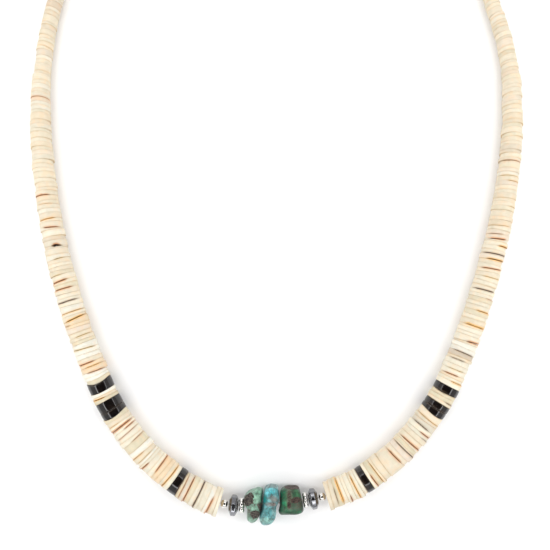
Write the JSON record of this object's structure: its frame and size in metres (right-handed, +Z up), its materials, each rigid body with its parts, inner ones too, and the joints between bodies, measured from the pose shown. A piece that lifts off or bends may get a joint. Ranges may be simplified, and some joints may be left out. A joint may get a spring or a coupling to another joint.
{
  "type": "necklace",
  "caption": "Strand of graduated cream shell discs with black discs, silver and hematite beads and turquoise nuggets at the front, lying flat in its worn oval",
  "frame": {"origin": "on the surface that the necklace lies on, under the middle of its bounding box", "axes": "+X to the right as seen from above with the front stones nearest, +Y from the front stones to the clasp, +Z up from the surface"},
  "size_m": [0.1333, 0.1995, 0.0078],
  "materials": {
    "shell": "hand-ground cream shell, satin",
    "black_shell": "polished black shell",
    "turquoise": "tumbled turquoise with brown matrix",
    "hematite": "faceted, metallic polish",
    "silver": "polished silver",
    "thread": "waxed beading thread"
  },
  "bodies": {
    "root": {"barrel_clasp": "silver", "black_disc_left_1": "black_shell", "black_disc_left_2": "black_shell", "black_disc_left_3": "black_shell", "black_disc_left_4": "black_shell", "black_disc_right_1": "black_shell", "black_disc_right_2": "black_shell", "black_disc_right_3": "black_shell", "black_disc_right_4": "black_shell", "fine_string_left": "shell", "fine_string_right": "shell", "granule_ring_left": "silver", "granule_ring_right": "silver", "hematite_rondelle_left": "hematite", "hematite_rondelle_right": "hematite", "shell_disc_left_01": "shell", "shell_disc_left_02": "shell", "shell_disc_left_03": "shell", "shell_disc_left_04": "shell", "shell_disc_left_05": "shell", "shell_disc_left_06": "shell", "shell_disc_left_07": "shell", "shell_disc_left_08": "shell", "shell_disc_left_09": "shell", "shell_disc_right_01": "shell", "shell_disc_right_02": "shell", "shell_disc_right_03": "shell", "shell_disc_right_04": "shell", "shell_disc_right_05": "shell", "shell_disc_right_06": "shell", "shell_disc_right_07": "shell", "shell_disc_right_08": "shell", "shell_disc_right_09": "shell", "shell_string_left": "shell", "shell_string_right": "shell", "silver_bead_left": "silver", "silver_bead_right": "silver", "thread": "thread", "turquoise_left": "turquoise", "turquoise_middle": "turquoise", "turquoise_right": "turquoise"}
  },
  "joints": []
}
